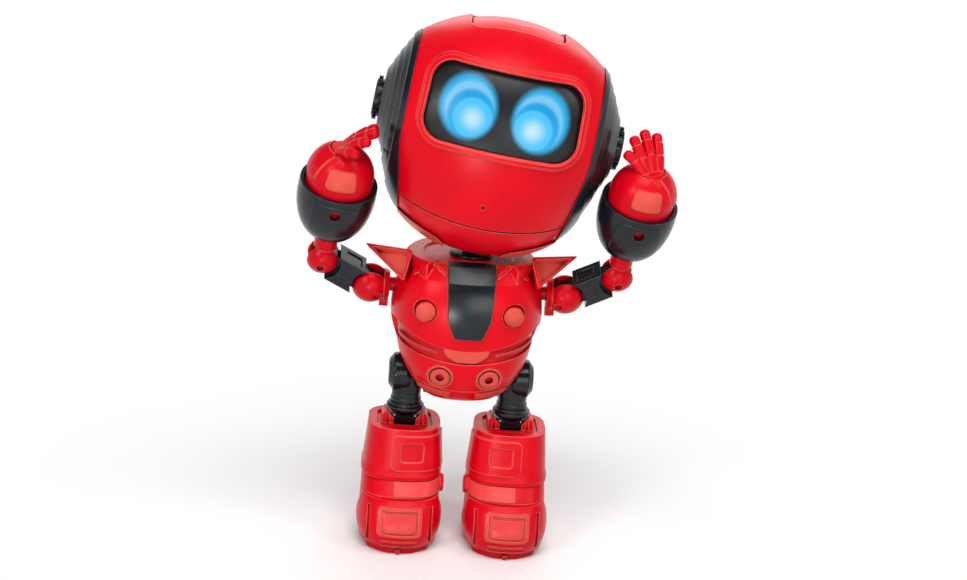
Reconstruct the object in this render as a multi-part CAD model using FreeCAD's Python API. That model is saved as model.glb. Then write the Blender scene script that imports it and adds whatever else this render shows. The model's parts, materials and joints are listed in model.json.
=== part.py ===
"""Toy robot, 120 mm tall, standing on two boots with its arms raised beside a tilted head.

Millimetres. Origin on the ground, midway between the boots. +Z is up, the robot faces -Y and its left
side is +X. Every rigid piece is one node, written to parts/NODE.step in the rest pose.
"""
import FreeCAD, Part
import math
import os

Vector = FreeCAD.Vector
Rotation = FreeCAD.Rotation
Placement = FreeCAD.Placement

# ---- fits shared by all assemblies
WALL = 1.4                  # moulded wall of the casings
RUN = 0.08                  # radial clearance of a shaft that turns in a bore
SEAM = 0.15                 # half of the shadow gap along a visible seam
FAR = 60.0                  # reach of cutting tools, past any piece

# ---- head, in its own frame: origin at its centre
HEAD_HALF_WIDTH = 28.6
HEAD_HALF_DEPTH = 22.6
HEAD_HALF_HEIGHT = 24.6
HEAD_POWER = 2.25           # squareness of the head's horizontal sections
HEAD_JAW = [                # lower sections: level, half width, half depth
    (-28.0, 6.5, 6.0),
    (-27.0, 10.0, 9.2),
    (-24.6, 14.9, 13.2),
    (-21.3, 18.8, 16.6),
    (-16.6, 21.8, 19.2),
    (-9.0, 25.1, 21.5),
]
HEAD_CROWN_LEVELS = [0.0, 8.0, 14.5, 19.2, 22.4, 24.2]
FACE_HALF_WIDTH = 20.6      # red casing between the ear pods
JAW_HALF_WIDTH = 17.8
CHIN_SEAM_LEVEL = -19.1
CHIN_SEAM_RISE = 2.3
HEAD_SPLIT_Y = 3.0
VISOR_HALF_WIDTH = 16.8
VISOR_LOW = -1.0
VISOR_HIGH = 15.5
VISOR_CORNER = 4.6
VISOR_RIM = 1.6
EYE_HALF_WIDTH = 6.2
EYE_HALF_HEIGHT = 6.6
EYE_SPACING = 15.7
EYE_LEVEL = 7.2
TOUCH_HALF_WIDTH = 10.2
TOUCH_FRONT = -7.5
TOUCH_BACK = 9.5
TOUCH_DEPTH = 0.6
TOUCH_TRAVEL = 0.5
EAR_AXIS_LEVEL = 0.7
EAR_TIP = 27.9
MIC_LEVEL = -13.7
HEAD_SCREWS = [(-15.4, -5.4), (15.4, -5.4), (-10.0, -13.6), (10.0, -13.6)]
HEAD_TILT = 7.6             # towards its left at rest, degrees about +Y
HEAD_TURN = -3.4            # at rest, degrees about +Z

# ---- neck
NECK_PIVOT_Z = 70.0
NECK_DROP = 26.5            # head centre above the tilt pin
NECK_RADIUS = 3.1
NECK_PIN_RADIUS = 0.8

# ---- torso, in its own frame
GROUND_CENTRE = Vector(2.3, -0.6, 0)    # middle of the whole outline on the ground, taken as the origin
BODY_LIFT = 0.8             # the torso's own levels above the ground, on these legs
TORSO_POWER = 2.5
DECK_LEVEL = 66.3
CHEST_SECTIONS = [          # level, half width, half depth
    (47.0, 15.9, 13.5),
    (50.0, 16.5, 14.0),
    (53.5, 16.9, 14.3),
    (57.5, 16.6, 14.2),
    (60.5, 15.9, 13.6),
    (63.0, 15.0, 12.6),
]
DECK_HALF_WIDTH = 13.2
DECK_HALF_DEPTH = 9.6
BELLY_SECTIONS = [
    (33.3, 6.5, 5.5),
    (34.5, 9.0, 8.2),
    (37.6, 11.8, 11.0),
    (41.0, 13.7, 12.6),
    (45.0, 14.9, 13.3),
    (49.0, 15.6, 13.6),
    (52.0, 15.9, 13.7),
]
TORSO_SPLIT_Y = 1.0
LIP_LEVEL = 47.6            # lower edge of the chest plate, on the middle line
LIP_RISE = 4.6
WAIST_LEVEL = 44.5          # upper edge of the belly shell
WAIST_RISE = 2.4
PAN_LEVEL = 37.3            # upper edge of the pelvis pan
PAN_RISE = 1.9
BAND_SET_BACK = 0.45
BUTTON_X = 9.8
BUTTON_Z = 56.3
RING_X = 5.5
RING_Z = 40.9
CELL_RADIUS = 5.8
CELL_LENGTH = 5.4
CELL_CENTRE = (4.9, 46.6)   # y, z of the cells' common axis
DOOR_HALF_WIDTH = 9.4
DOOR_LOW = 40.2
DOOR_HIGH = 53.4
SPEAKER_RADIUS = 7.5
REAR_SCREWS = [(-12.4, 53.9), (12.4, 53.9)]
DOOR_SCREW = (0.0, 51.2)

# ---- arms
SHOULDER = (22.1, 0.0, 58.2)
SHOULDER_BALL = 4.4
ELBOW_BALL = 3.9
LINK_LENGTH = 12.8
CUP_FOOT = 7.0              # along the forearm, from the elbow
CUP_RIM = 20.8
CUP_RADIUS = 8.7
CUP_FOOT_RADIUS = 4.7
CUP_WALL = 1.0
HAND_RADIUS = 7.4
HAND_BASE = 21.9            # centre of the hand's dome
FINGER_RADIUS = 1.35
FINGER_SEAT = HAND_BASE + 5.6
FINGER_LEAN = Vector(-0.6, 0, 0.8)
FINGER_RISE = Vector(0.8, 0, 0.6)
ARM_SWING = 18.5            # whole arm leans forward about X, degrees
LINK_RAISE = {-1: 30.5, 1: 30.0}       # link above horizontal, by side
FOREARM_LEAN = {-1: 7.2, 1: 7.4}       # forearm towards +X, by side
HAND_SPIN = {-1: 0.0, 1: 0.0}           # hand about the forearm, by side
FINGER_SPIN = {-1: -16.0, 1: -60.0}       # finger set in the hand's socket, by side

# ---- legs
HIP_X = 14.1
HIP_Z = 37.5
HIP_RADIUS = 4.4
HIP_OUTER = 16.5
LEG_X = 12.2
TWIST_Z = 33.0
ANKLE_Z = 27.6
ANKLE_PIN_RADIUS = 0.7
BOOT_TOP = 27.0
BOOT_RIDGE = 16.2
BOOT_POWER = 3.0
SOLE_THICK = 1.6


# ------------------------------------------------------------------ shape helpers
PLANES = {
    "front": (Vector(1, 0, 0), Vector(0, 0, 1), Vector(0, 1, 0)),
    "side": (Vector(0, 1, 0), Vector(0, 0, 1), Vector(1, 0, 0)),
    "plan": (Vector(1, 0, 0), Vector(0, 1, 0), Vector(0, 0, 1)),
}


def block(x0, x1, y0, y1, z0, z1):
    return Part.makeBox(x1 - x0, y1 - y0, z1 - z0, Vector(x0, y0, z0))


def rod(radius, start, end):
    """Cylinder from one point to another."""
    start = Vector(*start)
    run = Vector(*end) - start
    return Part.makeCylinder(radius, run.Length, start, run)


def taper(radius0, radius1, start, end):
    start = Vector(*start)
    run = Vector(*end) - start
    return Part.makeCone(radius0, radius1, run.Length, start, run)


def ball(radius, centre):
    return Part.makeSphere(radius, Vector(*centre))


def fuse(first, *others):
    return first.multiFuse(list(others))


def cut(first, *tools):
    return first.cut(list(tools))


def skin(form, outer, inner, zone):
    """Layer of a form between two offsets from its surface, kept within a zone."""
    return zone.common(form(outer)).cut(form(inner))


def rounded_wire(corners, plane):
    """Closed wire through (u, v, radius) corners, each rounded by a tangent arc of its radius."""
    axis_u, axis_v, _ = PLANES[plane]
    points = [axis_u * corner[0] + axis_v * corner[1] for corner in corners]
    radii = [corner[2] if len(corner) > 2 else 0.0 for corner in corners]
    bends = []
    for i, point in enumerate(points):
        before = (points[i - 1] - point).normalize()
        after = (points[(i + 1) % len(points)] - point).normalize()
        half_angle = before.getAngle(after) / 2
        if radii[i] == 0.0:
            bends.append((point, None, point))
            continue
        run = radii[i] / math.tan(half_angle)
        centre = point + (before + after).normalize() * (radii[i] / math.sin(half_angle))
        middle = centre + (point - centre).normalize() * radii[i]
        bends.append((point + before * run, middle, point + after * run))
    edges = []
    for i, (start, middle, end) in enumerate(bends):
        if middle is not None:
            edges.append(Part.Arc(start, middle, end).toShape())
        following = bends[(i + 1) % len(bends)][0]
        if (following - end).Length > 1e-6:
            edges.append(Part.LineSegment(end, following).toShape())
    return Part.Wire(edges)


def prism(corners, plane, low, high):
    """Outline in a plane, extruded along the plane's normal from low to high."""
    normal = PLANES[plane][2]
    face = Part.Face(rounded_wire(corners, plane))
    face.translate(normal * low)
    return face.extrude(normal * (high - low))


def rectangle(u0, u1, v0, v1, radius=0.0):
    return [(u0, v0, radius), (u1, v0, radius), (u1, v1, radius), (u0, v1, radius)]


def turned(corners, axis="z"):
    """Solid of revolution of (radius, level, corner radius) points about Z, or about X."""
    if axis == "z":
        face = Part.Face(rounded_wire(corners, "front"))
        return face.revolve(Vector(), Vector(0, 0, 1), 360)
    swapped = [(corner[1], corner[0]) + tuple(corner[2:]) for corner in corners]
    face = Part.Face(rounded_wire(swapped, "front"))
    return face.revolve(Vector(), Vector(1, 0, 0), 360)


def arc_region(middle_level, rise, half_width, far_level):
    """Space between a smile-shaped arc, seen from the front and level past its ends, and a far level."""
    left = Vector(-half_width, 0, middle_level + rise)
    right = Vector(half_width, 0, middle_level + rise)
    corners = [
        right,
        Vector(FAR, 0, middle_level + rise),
        Vector(FAR, 0, far_level),
        Vector(-FAR, 0, far_level),
        Vector(-FAR, 0, middle_level + rise),
        left,
    ]
    edges = [Part.Arc(left, Vector(0, 0, middle_level), right).toShape()]
    edges += [Part.LineSegment(a, b).toShape() for a, b in zip(corners, corners[1:])]
    face = Part.Face(Part.Wire(edges))
    face.translate(Vector(0, -FAR, 0))
    return face.extrude(Vector(0, 2 * FAR, 0))


def oval(half_x, half_y, level, power, centre_y=0.0, count=12):
    """Closed superellipse: an ellipse at power 2, squarer above it."""
    points = []
    for i in range(count):
        turn = 2 * math.pi * (i + 0.5) / count
        c, s = math.cos(turn), math.sin(turn)
        x = half_x * math.copysign(abs(c) ** (2 / power), c)
        y = half_y * math.copysign(abs(s) ** (2 / power), s)
        points.append(Vector(x, centre_y + y, level))
    curve = Part.BSplineCurve()
    curve.interpolate(Points=points, PeriodicFlag=True)
    return Part.Wire([curve.toShape()])


def loft(wires, ruled=False):
    return Part.makeLoft(wires, True, ruled)


def mirrored(shape):
    return shape.mirror(Vector(), Vector(1, 0, 0))


def for_side(shape, side):
    """The shape as built for the robot's left, or its mirror image for the right."""
    return shape if side > 0 else mirrored(shape)


def pan_head_screw(start, direction, length, head_radius=1.5):
    """Round-headed self-tapping screw: the head's underside is at start, the shank runs along direction."""
    start = Vector(*start)
    direction = Vector(*direction).normalize()
    head = Part.makeCylinder(head_radius, 0.9, start, direction * -1)
    shank = Part.makeCylinder(head_radius * 0.53, length, start, direction)
    slot_a = Part.makeBox(head_radius * 1.3, 0.35, 0.45)
    slot_a.translate(Vector(-head_radius * 0.65, -0.175, -0.9))
    slot_b = slot_a.copy()
    slot_b.rotate(Vector(), Vector(0, 0, 1), 90)
    cross = slot_a.fuse(slot_b)
    cross.Placement = Placement(start, Rotation(Vector(0, 0, 1), direction)).multiply(cross.Placement)
    return cut(head.fuse(shank), cross)


# ------------------------------------------------------------------ head
FORMS = {}


def head_form(grow=0.0):
    """Closed outer form of the head, grown or shrunk by an even distance."""
    if ("head", grow) not in FORMS:
        sections = list(HEAD_JAW)
        for level in HEAD_CROWN_LEVELS:
            shrink = math.sqrt(1 - (level / HEAD_HALF_HEIGHT) ** 2)
            sections.append((level, HEAD_HALF_WIDTH * shrink, HEAD_HALF_DEPTH * shrink))
        stretch = 1 + grow / HEAD_HALF_HEIGHT
        wires = [oval(a + grow, b + grow, z * stretch, HEAD_POWER) for z, a, b in sections]
        FORMS[("head", grow)] = loft(wires)
    return FORMS[("head", grow)]


def face_prism():
    """Front outline of the red casing: straight at the ear pods, narrowing along the jaw."""
    half = [
        (FACE_HALF_WIDTH, 40.0), (FACE_HALF_WIDTH, -3.0, 30.0),
        (JAW_HALF_WIDTH, -21.3, 30.0), (16.5, -40.0),
    ]
    other = [(-corner[0],) + tuple(corner[1:]) for corner in reversed(half)]
    return prism(half + other, "front", -FAR, FAR)


def visor_outline(grow):
    lean = 0.5
    corner = VISOR_CORNER + grow
    wide = VISOR_HALF_WIDTH + grow
    return [
        (-wide, VISOR_LOW - grow, corner),
        (wide, VISOR_LOW - grow, corner),
        (wide - lean, VISOR_HIGH + grow, corner),
        (-wide + lean, VISOR_HIGH + grow, corner),
    ]


def touch_outline(grow):
    return rectangle(
        -TOUCH_HALF_WIDTH - grow, TOUCH_HALF_WIDTH + grow, TOUCH_FRONT - grow, TOUCH_BACK + grow, 3.0 + grow
    )


def head_casing():
    """Red casing between the ear pods, before it is split into front, rear and chin."""
    return head_form().common(face_prism()).cut(head_form(-WALL))


def head_zone(y0, y1):
    """Space above the chin seam between two depths."""
    return arc_region(CHIN_SEAM_LEVEL + SEAM, CHIN_SEAM_RISE, JAW_HALF_WIDTH, FAR).common(
        block(-FAR, FAR, y0, y1, -FAR, FAR))


def visor_prism(grow, y1=0.0):
    return prism(visor_outline(grow), "front", -FAR, y1)


def head_front_shell(casing):
    """Front half: visor rim and ledge, microphone holder and the posts that the head's screws bite."""
    shell = casing.common(head_zone(-FAR, HEAD_SPLIT_Y))
    shell = cut(shell, visor_prism(0.0), prism(touch_outline(0.25), "plan", 10.0, FAR))
    rim = skin(head_form, 0.45, -0.7, visor_prism(VISOR_RIM).cut(visor_prism(0.0)))
    crest = skin(head_form, 0.85, -0.6, visor_prism(VISOR_RIM - 0.4).cut(visor_prism(0.3)))
    ledge_root = skin(head_form, -0.6, -2.3, visor_prism(1.0, -8.0).cut(visor_prism(0.0)))
    ledge = skin(head_form, -1.45, -2.3, visor_prism(0.05, -8.0).cut(visor_prism(-0.8)))
    posts = [rod(2.8, (0, -19.5, MIC_LEVEL), (0, -15.5, MIC_LEVEL))]
    posts += [rod(1.9, (x, HEAD_SPLIT_Y, z), (x, -22.0, z)) for x, z in HEAD_SCREWS]
    posts = Part.makeCompound(posts).common(head_form(-0.8))
    shell = fuse(shell, rim, crest, ledge_root, ledge, posts)
    holes = [rod(0.8, (x, HEAD_SPLIT_Y, z), (x, HEAD_SPLIT_Y - 5.0, z)) for x, z in HEAD_SCREWS]
    holes.append(rod(2.0, (0, -17.9, MIC_LEVEL), (0, -10, MIC_LEVEL)))
    holes.append(rod(0.45, (0, -30, MIC_LEVEL), (0, -17.0, MIC_LEVEL)))
    return cut(shell, *holes)


def head_rear_shell(casing):
    """Rear half, with a sunk well for each of the head's screws."""
    shell = casing.common(head_zone(HEAD_SPLIT_Y, FAR))
    posts = [rod(2.6, (x, HEAD_SPLIT_Y, z), (x, 24.0, z)) for x, z in HEAD_SCREWS]
    posts = Part.makeCompound(posts).common(head_form(-0.3))
    shell = fuse(shell, posts)
    holes = [rod(0.85, (x, 0, z), (x, 24, z)) for x, z in HEAD_SCREWS]
    holes += [rod(1.75, (x, 8.0, z), (x, 30, z)) for x, z in HEAD_SCREWS]
    return cut(shell, prism(touch_outline(0.25), "plan", 10.0, FAR), *holes)


def chin_shell(casing):
    """Bowl under the chin seam, with an inner lip that locates it and two raised front pads."""
    shell = casing.common(arc_region(CHIN_SEAM_LEVEL - SEAM, CHIN_SEAM_RISE, JAW_HALF_WIDTH, -FAR))
    lip_zone = arc_region(CHIN_SEAM_LEVEL + 1.4, CHIN_SEAM_RISE, JAW_HALF_WIDTH, -24.0)
    lip = skin(head_form, -WALL, -WALL - 0.8, lip_zone.common(block(-15.8, 15.8, -FAR, FAR, -24.0, 0.0)))
    pad = [
        (6.0, -30.0), (6.4, -25.9, 0.8), (8.2, -24.4, 1.2),
        (17.0, -21.2, 0.6), (18.4, -20.9), (20.0, -30.0),
    ]
    plate = skin(head_form, 0.35, -0.4, prism(pad, "front", -FAR, -1.0).common(face_prism()))
    return cut(fuse(shell, lip, plate, mirrored(plate)), block(-3.7, 3.7, -3.7, 3.7, -40.0, -20.0))


def touch_panel():
    return skin(head_form, -TOUCH_DEPTH, -TOUCH_DEPTH - 1.2, prism(touch_outline(0.0), "plan", 10.0, FAR))


def touch_spring():
    """Flat-wire spring that returns the touch panel, three turns between the panel and the eye board."""
    top = HEAD_HALF_HEIGHT - TOUCH_DEPTH - 1.9
    coils = [
        turned([
            (2.0, top - 4.2 + i * 1.2), (2.8, top - 4.2 + i * 1.2),
            (2.8, top - 3.7 + i * 1.2), (2.0, top - 3.7 + i * 1.2),
        ])
        for i in range(3)
    ]
    return coils


def visor_lens():
    return skin(head_form, -0.35, -1.45, visor_prism(-0.05))


def eye_wire(grow, y):
    ellipse = Part.Ellipse(Vector(0, 0, 0), EYE_HALF_HEIGHT + grow, EYE_HALF_WIDTH + grow)
    wire = Part.Wire([ellipse.toShape()])
    wire.rotate(Vector(), Vector(0, 0, 1), 90)
    wire.rotate(Vector(), Vector(1, 0, 0), 90)
    wire.translate(Vector(0, y, EYE_LEVEL))
    return wire


def eye_diffusers():
    """Two light cups, open to the board and closed by a diffusing front just behind the lens."""
    cups = []
    for side in (-1, 1):
        body = Part.Face(eye_wire(0.0, -25.0)).extrude(Vector(0, 12.0, 0))
        hollow = Part.Face(eye_wire(-0.9, -25.0)).extrude(Vector(0, 14.0, 0))
        place = Vector(side * EYE_SPACING / 2, 0, 0)
        body.translate(place)
        hollow.translate(place)
        cup = body.common(head_form(-1.5)).cut(hollow.common(head_form(-2.4)))
        cups.append(cup)
    return cups


def eye_board():
    board = prism(rectangle(-15.0, 15.0, -0.6, 15.8, 1.0), "front", -13.0, -11.8)
    board = board.common(head_form(-2.6))
    for side in (-1, 1):
        led = turned([(0, 0), (1.5, 0), (1.5, 2.0, 0.9), (0, 2.9)])
        led.rotate(Vector(), Vector(1, 0, 0), 90)
        led.translate(Vector(side * EYE_SPACING / 2, -13.0, EYE_LEVEL))
        board = fuse(board, led)
    return board


def microphone():
    return rod(1.95, (0, -17.9, MIC_LEVEL), (0, -15.9, MIC_LEVEL))


def head_screws():
    return [pan_head_screw((x, 8.0, z), (0, -1, 0), 9.0, 1.5) for x, z in HEAD_SCREWS]


def ear_pod():
    """Left ear pod: stepped cone about X over a smooth cheek that runs down to the jaw."""
    cheek = head_form(0.2).cut(face_prism()).common(block(0, 21.9, -FAR, FAR, -21.6, 40))
    lower = head_form(0.0).cut(face_prism()).common(block(0, 23.6, -FAR, FAR, -21.6, -8.5))
    steps = [(15.4, 22.0), (13.3, 23.1), (11.2, 24.2), (9.0, 25.2), (6.8, 26.2)]
    profile = [(0, 19.0), (15.6, 19.0), (15.6, 21.5)]
    for radius, x in steps:
        profile.append((radius, x, 0.25))
        profile.append((radius - 0.55, x))
    profile += [
        (4.2, 26.3), (4.2, EAR_TIP, 0.4), (2.6, EAR_TIP, 0.2),
        (2.2, EAR_TIP - 0.7), (0, EAR_TIP - 0.7),
    ]
    cone = turned(profile, "x")
    cone.translate(Vector(0, 0, EAR_AXIS_LEVEL))
    cone = cone.cut(face_prism())
    pod = fuse(cheek, lower, cone)
    teeth = []
    for i in range(12):
        tooth = block(EAR_TIP - 1.2, EAR_TIP - 0.3, -0.5, 0.5, 3.9, 4.9)
        tooth.rotate(Vector(), Vector(1, 0, 0), 30 * i)
        tooth.translate(Vector(0, 0, EAR_AXIS_LEVEL))
        teeth.append(tooth)
    pod = fuse(pod, *teeth)
    hollow = turned([(0, 17.0), (12.6, 17.0), (12.6, 20.9), (4.0, 24.9), (0, 24.9)], "x")
    hollow.translate(Vector(0, 0, EAR_AXIS_LEVEL))
    return pod.cut(hollow)


def neck_bracket():
    """Clevis fixed in the head's floor, whose ears hold the tilt pin."""
    body = block(-5.5, 5.5, -4.5, 4.5, -26.4, -22.8).common(head_form(-WALL))
    ears = prism(rectangle(-2.6, 2.6, -27.9, -24.0, 1.2), "front", -3.4, 3.4)
    bracket = fuse(body, ears)
    bore = rod(NECK_PIN_RADIUS, (0, -FAR, -NECK_DROP), (0, FAR, -NECK_DROP))
    return cut(bracket, block(-3.5, 3.5, -1.6, 1.6, -30.0, -24.0), bore)


def neck_pin():
    return rod(NECK_PIN_RADIUS, (0, -3.4, -NECK_DROP), (0, 3.4, -NECK_DROP))


def neck_post():
    """Turning post in the deck bush, with the tongue that carries the head's tilt pin."""
    post = turned([
        (0, 60.2), (4.4, 60.2, 0.3), (4.4, 61.8), (NECK_RADIUS, 61.8), (NECK_RADIUS, DECK_LEVEL + 0.1),
        (4.8, DECK_LEVEL + 0.1), (4.8, 67.0, 0.3), (0, 67.0),
    ])
    tongue = prism([(-2.0, 66.8), (2.0, 66.8), (2.0, 72.0, 1.99), (-2.0, 72.0, 1.99)], "front", -1.4, 1.4)
    post = fuse(post, tongue)
    return cut(post, rod(NECK_PIN_RADIUS + RUN, (0, -5, NECK_PIVOT_Z), (0, 5, NECK_PIVOT_Z)))


# ------------------------------------------------------------------ torso
def chest_form(grow=0.0):
    """Chest with a bevelled yoke up to the flat deck around the neck."""
    if ("chest", grow) not in FORMS:
        wires = [oval(a + grow, b + grow, z, TORSO_POWER) for z, a, b in CHEST_SECTIONS]
        top = oval(DECK_HALF_WIDTH + grow, DECK_HALF_DEPTH + grow, DECK_LEVEL + grow, TORSO_POWER)
        FORMS[("chest", grow)] = fuse(loft(wires), loft([wires[-1], top], True))
    return FORMS[("chest", grow)]


def belly_form(grow=0.0):
    if ("belly", grow) not in FORMS:
        low = BELLY_SECTIONS[0][0]
        wires = []
        for z, a, b in BELLY_SECTIONS:
            level = z - grow if z == low else z
            wires.append(oval(a + grow, b + grow, level, TORSO_POWER))
        FORMS[("belly", grow)] = loft(wires)
    return FORMS[("belly", grow)]


def back_form(grow=0.0):
    """Smooth back from the pelvis to the deck."""
    if ("back", grow) not in FORMS:
        sections = BELLY_SECTIONS[:5] + CHEST_SECTIONS[1:]
        wires = []
        for z, a, b in sections:
            level = z - grow if z == sections[0][0] else z
            wires.append(oval(a + grow, b + grow, level, TORSO_POWER))
        top = oval(DECK_HALF_WIDTH + grow, DECK_HALF_DEPTH + grow, DECK_LEVEL + grow, TORSO_POWER)
        FORMS[("back", grow)] = fuse(loft(wires), loft([wires[-1], top], True))
    return FORMS[("back", grow)]


def lip_region(offset=0.0, far=FAR + 20):
    return arc_region(LIP_LEVEL + offset, LIP_RISE, 15.8, far)


def waist_region(offset=0.0, far=FAR + 20):
    return arc_region(WAIST_LEVEL + offset, WAIST_RISE, 14.6, far)


def pan_region(offset=0.0, far=FAR + 20):
    return arc_region(PAN_LEVEL + offset, PAN_RISE, 11.8, far)


def leg_pockets():
    """Room for the hip knuckles and the tops of the legs, swept about the hip axis."""
    pocket = rod(5.9, (8.5, 0, HIP_Z), (30, 0, HIP_Z))
    return fuse(pocket, mirrored(pocket))


def shoulder_bores():
    bore = rod(1.6 + RUN, (10, 0, SHOULDER[2]), (30, 0, SHOULDER[2]))
    return fuse(bore, mirrored(bore))


def neck_bore():
    return rod(NECK_RADIUS + RUN, (0, 0, 50), (0, 0, 80))


def deck_bush():
    return rod(5.2, (0, 0, 61.9), (0, 0, DECK_LEVEL - 0.2))


def collar():
    """Low guard round the back and sides of the neck, under the sweep of the chin."""
    ring = turned([(10.2, 64.6), (14.6, 62.0), (14.6, 66.1, 0.4), (13.8, 66.75, 0.3), (10.6, 66.75, 0.2)])
    wedge = prism([(0, 0), (-40, -42), (40, -42)], "plan", 50, 80)
    return ring.cut(wedge)


def front_half():
    return block(-FAR, FAR, -FAR, TORSO_SPLIT_Y, 0, 100)


def back_half():
    return block(-FAR, FAR, TORSO_SPLIT_Y, FAR, 0, 100)


def panel_outline(grow):
    half = [(3.0 + grow, 50.7 - grow, 0.6), (4.7 + grow, 55.0, 1.5), (5.2 + grow, 62.8), (5.5 + grow, 72.0)]
    other = [(-corner[0],) + tuple(corner[1:]) for corner in reversed(half)]
    return half + other


def strip(points, width):
    """Front-view band of even width along a short run of points."""
    pieces = []
    for (x0, z0), (x1, z1) in zip(points, points[1:]):
        length = math.hypot(x1 - x0, z1 - z0)
        ux, uz = (x1 - x0) / length, (z1 - z0) / length
        half = width / 2
        corners = [
            (x0 - ux * half - uz * half, z0 - uz * half + ux * half),
            (x0 - ux * half + uz * half, z0 - uz * half - ux * half),
            (x1 + ux * half + uz * half, z1 + uz * half - ux * half),
            (x1 + ux * half - uz * half, z1 + uz * half + ux * half),
        ]
        pieces.append(prism(corners, "front", -FAR, -2.0))
    return fuse(*pieces)


def hub_walls(form):
    """Bearing blocks for the shoulder axles, trimmed flush with the chest's side."""
    walls = [rod(3.4, (side * 13.6, 0, SHOULDER[2]), (side * 17.6, 0, SHOULDER[2])) for side in (-1, 1)]
    return Part.makeCompound(walls).common(form())


def chest_shell():
    """Front of the chest: yoke ridges, button moats, panel seat, front of the neck bush and the hubs."""
    zone = lip_region().common(front_half())
    shell = skin(chest_form, 0.0, -WALL, zone)
    ridge = skin(chest_form, 0.35, -0.4, strip([(12.5, 63.7), (8.8, 66.4), (5.9, 64.6)], 0.7))
    posts = [rod(2.0, (x, -12.0, z), (x, TORSO_SPLIT_Y, z)) for x, z in REAR_SCREWS]
    posts = Part.makeCompound(posts).common(chest_form(-0.8))
    added = fuse(collar(), deck_bush(), hub_walls(chest_form), posts).common(front_half())
    shell = fuse(shell, ridge, mirrored(ridge), added)
    seats = [rod(2.5, (side * BUTTON_X, -20, BUTTON_Z), (side * BUTTON_X, -5, BUTTON_Z)) for side in (-1, 1)]
    seats.append(prism(panel_outline(0.05), "front", -FAR, -6.0))
    sunk = skin(chest_form, 1.0, -0.5, Part.makeCompound(seats))
    pilots = [rod(0.78, (x, -5.0, z), (x, 5.0, z)) for x, z in REAR_SCREWS]
    return cut(shell, sunk, shoulder_bores(), neck_bore(), *pilots)


def chest_panel():
    zone = prism(panel_outline(0.0), "front", -FAR, -6.5).common(block(-FAR, FAR, -FAR, FAR, 40, DECK_LEVEL))
    return skin(chest_form, 0.55, -0.5, zone)


def waist_band():
    """Recessed band between the chest plate and the belly, with its two ribs and half-moon tab."""
    zone = waist_region().common(front_half()).cut(lip_region())
    band = skin(belly_form, -BAND_SET_BACK, -2.0, zone)
    tab = prism([(-5.0, 60), (-5.0, 46.6, 2.0), (-2.2, 44.9, 1.6), (2.2, 44.9, 1.6), (5.0, 46.6, 2.0), (5.0, 60)],
                "front", -FAR, 0)
    rib = waist_region(1.5).cut(waist_region(2.1)).common(block(6.6, 15.0, -FAR, -3, 40, 60))
    raised = skin(belly_form, 0.1, -0.9, fuse(tab, rib, mirrored(rib)).common(zone))
    return cut(fuse(band, raised), leg_pockets())


def belly_shell():
    shell = skin(belly_form, 0.0, -WALL, pan_region().common(front_half()).cut(waist_region()))
    seats = [rod(3.0, (side * RING_X, -20, RING_Z), (side * RING_X, -5, RING_Z)) for side in (-1, 1)]
    return cut(shell, skin(belly_form, 0.5, -0.4, Part.makeCompound(seats)), leg_pockets())


def pelvis_pan():
    """Lower pan with raised strips and the two bearing blocks that the hip axles turn in."""
    shell = belly_form().cut(belly_form(-WALL)).cut(pan_region())
    bearing = block(5.8, 8.5, -4.2, 4.2, 34.2, 40.3)
    bridge = block(-8.5, 8.5, -2.2, 2.2, 33.9, 35.0)
    strip_zone = pan_region(-0.5, 0).cut(pan_region(-2.4, 0)).common(block(3.0, 10.2, -FAR, -3, 30, 50))
    raised = skin(belly_form, 0.3, -0.5, strip_zone)
    shell = fuse(shell, bearing, mirrored(bearing), bridge, raised, mirrored(raised))
    bore = rod(1.6 + RUN, (0, 0, HIP_Z), (30, 0, HIP_Z))
    return cut(shell, leg_pockets(), bore, mirrored(bore))


def rear_opening(grow):
    return prism(
        rectangle(-DOOR_HALF_WIDTH - grow, DOOR_HALF_WIDTH + grow, DOOR_LOW - grow, DOOR_HIGH + grow, 1.5),
        "front", 5.0, FAR,
    )


def torso_rear_shell():
    """Whole back: battery bay and its opening, screw wells, speaker grille and the switch's slot."""
    shell = skin(back_form, 0.0, -WALL, pan_region().common(back_half()))
    added = fuse(collar(), deck_bush(), hub_walls(back_form)).common(back_half())
    ledge = skin(back_form, -1.0, -2.2, rear_opening(0.8).cut(rear_opening(-0.8)))
    posts = [rod(2.3, (x, TORSO_SPLIT_Y, z), (x, 13.0, z)) for x, z in REAR_SCREWS]
    posts.append(block(-9.2, 9.2, 1.0, 12.6, 39.0, 40.4))
    posts += [block(side * 8.7 - 0.5, side * 8.7 + 0.5, 1.0, 12.6, 39.0, 52.6) for side in (-1, 1)]
    x, z = DOOR_SCREW
    posts.append(block(x - 2.0, x + 2.0, 10.4, 13.6, z - 1.6, z + 3.4))
    posts = Part.makeCompound(posts).common(back_form(-1.0))
    door_seat = rear_opening(0.0).cut(back_form(-1.0))
    shell = fuse(shell.cut(door_seat), added, ledge, posts)
    holes = [rod(0.8, (x, 0, z), (x, 20, z)) for x, z in REAR_SCREWS]
    holes += [rod(1.6, (x, 6.0, z), (x, 20, z)) for x, z in REAR_SCREWS]
    holes.append(rod(0.7, (DOOR_SCREW[0], 9.0, DOOR_SCREW[1]), (DOOR_SCREW[0], 20.0, DOOR_SCREW[1])))
    holes += [rod(0.55, (x, 5, z), (x, 20, z)) for x in (-4.5, -2.25, 0, 2.25, 4.5) for z in (55.8, 58.0)]
    holes.append(block(-2.6, 2.2, 5, 20, 60.6, 62.4))
    holes.append(rod(CELL_RADIUS + 0.05, (-8.15, *CELL_CENTRE), (8.15, *CELL_CENTRE)))
    return cut(shell, shoulder_bores(), neck_bore(), leg_pockets(), *holes)


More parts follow.
